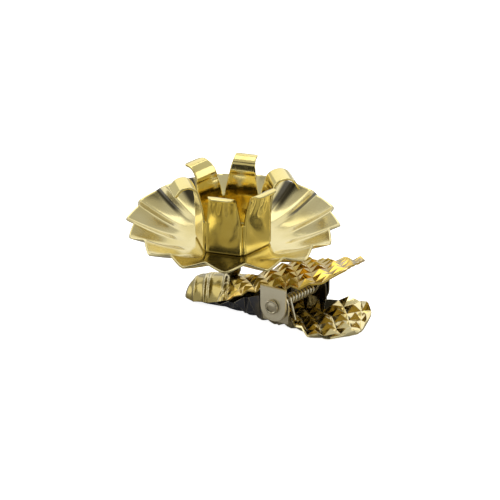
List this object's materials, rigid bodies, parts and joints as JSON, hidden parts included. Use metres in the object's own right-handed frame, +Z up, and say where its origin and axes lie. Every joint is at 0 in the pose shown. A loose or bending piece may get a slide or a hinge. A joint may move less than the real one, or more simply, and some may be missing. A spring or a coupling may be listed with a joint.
{
  "type": "clip-on candle holder",
  "caption": "Hexagonal petal cup on a fluted drip dish, held by a ball joint on a sprung two-leaf clip that grips a tree branch.",
  "frame": {"origin": "on the table, straight below the ball joint, at the underside of the lower leaf", "axes": "+X points to the finger handles, +Y along the hinge pin, +Z up"},
  "size_m": [0.0485, 0.04, 0.0283],
  "materials": {
    "leaf_brass": "polished, pressed pattern",
    "cup_brass": "mirror polished",
    "pale_brass": "polished",
    "stud_brass": "dark, polished",
    "spring_wire": "brass plated wire"
  },
  "bodies": {
    "lower_jaw": {"lower_leaf": "leaf_brass", "hinge_pin": "pale_brass", "torsion_spring": "spring_wire"},
    "upper_jaw": {"upper_leaf": "leaf_brass"},
    "swivel": {"ball_stud": "stud_brass"},
    "candle_holder": {"neck": "pale_brass", "drip_dish": "cup_brass", "candle_cup": "cup_brass", "centre_rivet": "pale_brass"}
  },
  "joints": [
    {"name": "jaw_hinge", "type": "hinge", "parent": "lower_jaw", "child": "upper_jaw", "pos_m": [0.0147, 0, 0.0045], "axis": [0, 1, 0], "range_deg": [0, 22], "stiffness_Nm_per_rad": 0.06, "springref_deg": -68.75, "deforming": ["torsion_spring"]},
    {"name": "ball_swivel", "type": "hinge", "parent": "upper_jaw", "child": "swivel", "pos_m": [0, 0, 0.0071], "axis": [0, 0, 1], "continuous": true},
    {"name": "candle_tilt", "type": "hinge", "parent": "swivel", "child": "candle_holder", "pos_m": [0, 0, 0.0071], "axis": [0.809, 0.5878, 0], "range_deg": [-25, 5]}
  ]
}
